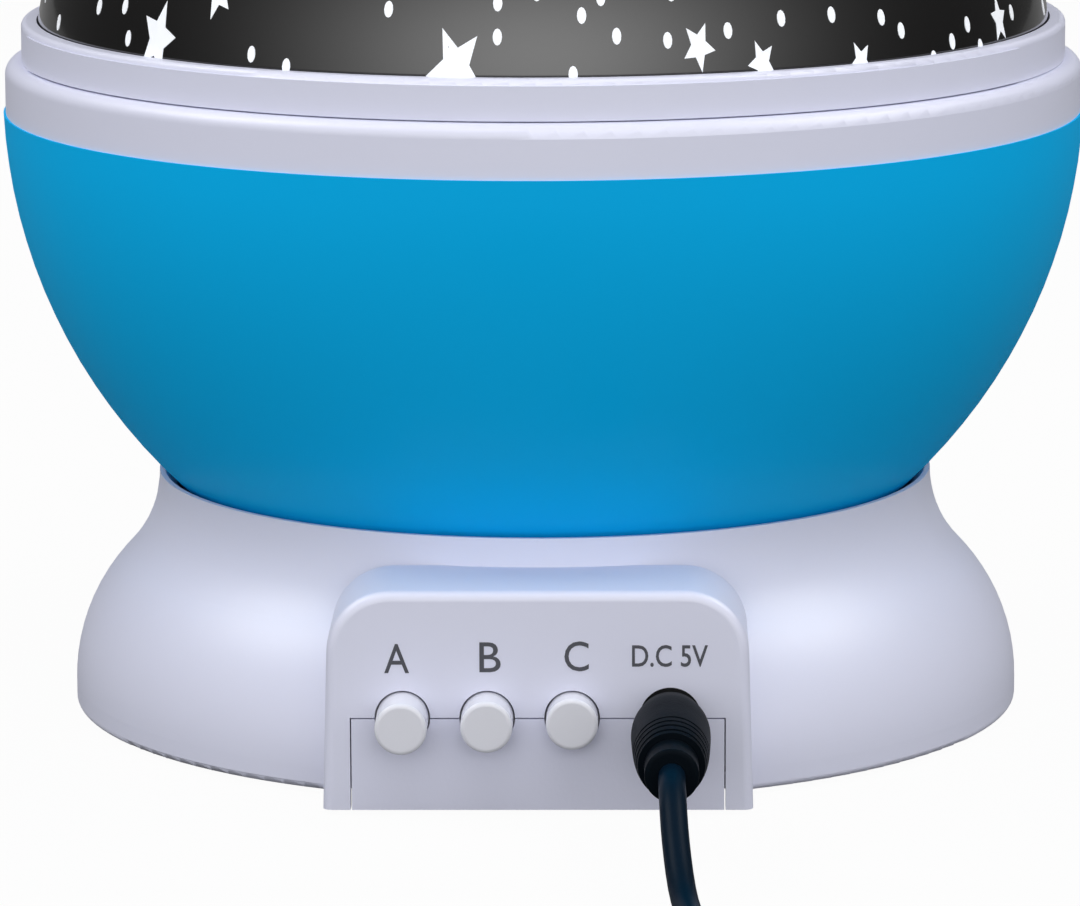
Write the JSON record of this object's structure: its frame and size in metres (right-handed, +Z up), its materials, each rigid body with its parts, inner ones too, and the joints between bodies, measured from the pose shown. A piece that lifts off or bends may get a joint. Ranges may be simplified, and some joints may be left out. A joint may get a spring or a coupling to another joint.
{
  "type": "planetarium projector",
  "caption": "Ball-shaped star projector night light with a turning ball, lift-off star dome, push buttons and a low-voltage power lead.",
  "frame": {"origin": "on the surface that the lamp stands on, under the axis of the ball", "axes": "+Z up along the ball's axis, the control panel faces -Y"},
  "size_m": [0.1461, 0.2762, 0.1366],
  "materials": {
    "white_plastic": "glossy moulded",
    "cover_plastic": "satin moulded",
    "button_plastic": "glossy moulded",
    "blue_plastic": "high gloss",
    "dome_print": "high gloss",
    "clear_plastic": "clear",
    "reflector_plastic": "satin",
    "gear_plastic": "satin",
    "inner_plastic": "satin",
    "black_plastic": "satin",
    "board": "coated board",
    "lamp_lens": "clear",
    "steel": "bright",
    "plated_steel": "plated",
    "foot_rubber": "matt",
    "plug_rubber": "satin",
    "cord_jacket": "satin",
    "wire": "satin",
    "ribbon": "satin",
    "tie": "woven"
  },
  "bodies": {
    "base": {"base_housing": "white_plastic", "base_cover": "cover_plastic", "foot_pads": "foot_rubber", "cover_screws": "steel", "battery_contacts": "plated_steel", "control_board": "board", "push_switches": "black_plastic", "board_sockets": "inner_plastic", "dc_jack": "black_plastic", "gearbox": "inner_plastic", "gearbox_screws": "steel", "motor": "steel", "lamp_post": "inner_plastic", "post_screws": "steel", "thrust_washer": "gear_plastic", "post_clip": "steel", "lamp_holder": "inner_plastic", "lamp_board": "board", "lamps": "lamp_lens", "lamp_ribbon": "ribbon", "motor_leads": "wire", "battery_leads": "wire", "dc_plug": "plug_rubber", "plug_barrel": "plated_steel", "power_cord": "cord_jacket", "cord_coil": "cord_jacket", "cord_tie": "tie", "cord_tail": "cord_jacket", "usb_plug": "plug_rubber", "usb_shell": "plated_steel", "usb_tongue": "inner_plastic"},
    "ball": {"bowl": "blue_plastic", "ball_ring": "white_plastic", "reflector": "reflector_plastic", "drive_gear": "gear_plastic", "gear_screws": "steel"},
    "dome": {"dome_collar": "white_plastic", "dome_lens": "clear_plastic", "star_mask": "dome_print"},
    "pinion": {"drive_pinion": "gear_plastic", "pinion_shaft": "steel"},
    "push_a": {"button_a": "button_plastic", "plunger_a": "inner_plastic"},
    "push_b": {"button_b": "button_plastic", "plunger_b": "inner_plastic"},
    "push_c": {"button_c": "button_plastic", "plunger_c": "inner_plastic"},
    "door": {"battery_door": "cover_plastic", "door_screw": "steel"}
  },
  "joints": [
    {"name": "ball_spin", "type": "hinge", "parent": "base", "child": "ball", "pos_m": [0, 0, 0.0243], "axis": [0, 0, 1], "continuous": true},
    {"name": "pinion_spin", "type": "hinge", "parent": "base", "child": "pinion", "pos_m": [0, 0.034, 0.0202], "axis": [0, 0, 1], "continuous": true},
    {"name": "dome_lift", "type": "slide", "parent": "ball", "child": "dome", "axis": [0, 0, 1], "range_m": [0, 0.07]},
    {"name": "button_a_press", "type": "slide", "parent": "base", "child": "push_a", "axis": [0, 1, 0], "range_m": [0, 0.0024], "stiffness_N_per_m": 400, "springref_m": -0.002},
    {"name": "button_b_press", "type": "slide", "parent": "base", "child": "push_b", "axis": [0, 1, 0], "range_m": [0, 0.0015], "stiffness_N_per_m": 600, "springref_m": -0.0015},
    {"name": "button_c_press", "type": "slide", "parent": "base", "child": "push_c", "axis": [0, 1, 0], "range_m": [-0.0024, 0]},
    {"name": "door_swing", "type": "hinge", "parent": "base", "child": "door", "pos_m": [0, 0.0189, 0.0013], "axis": [1, 0, 0], "range_deg": [0, 95]}
  ],
  "couplings": [
    {"joint": "pinion_spin", "follows": "ball_spin", "ratio": -4.6667}
  ]
}
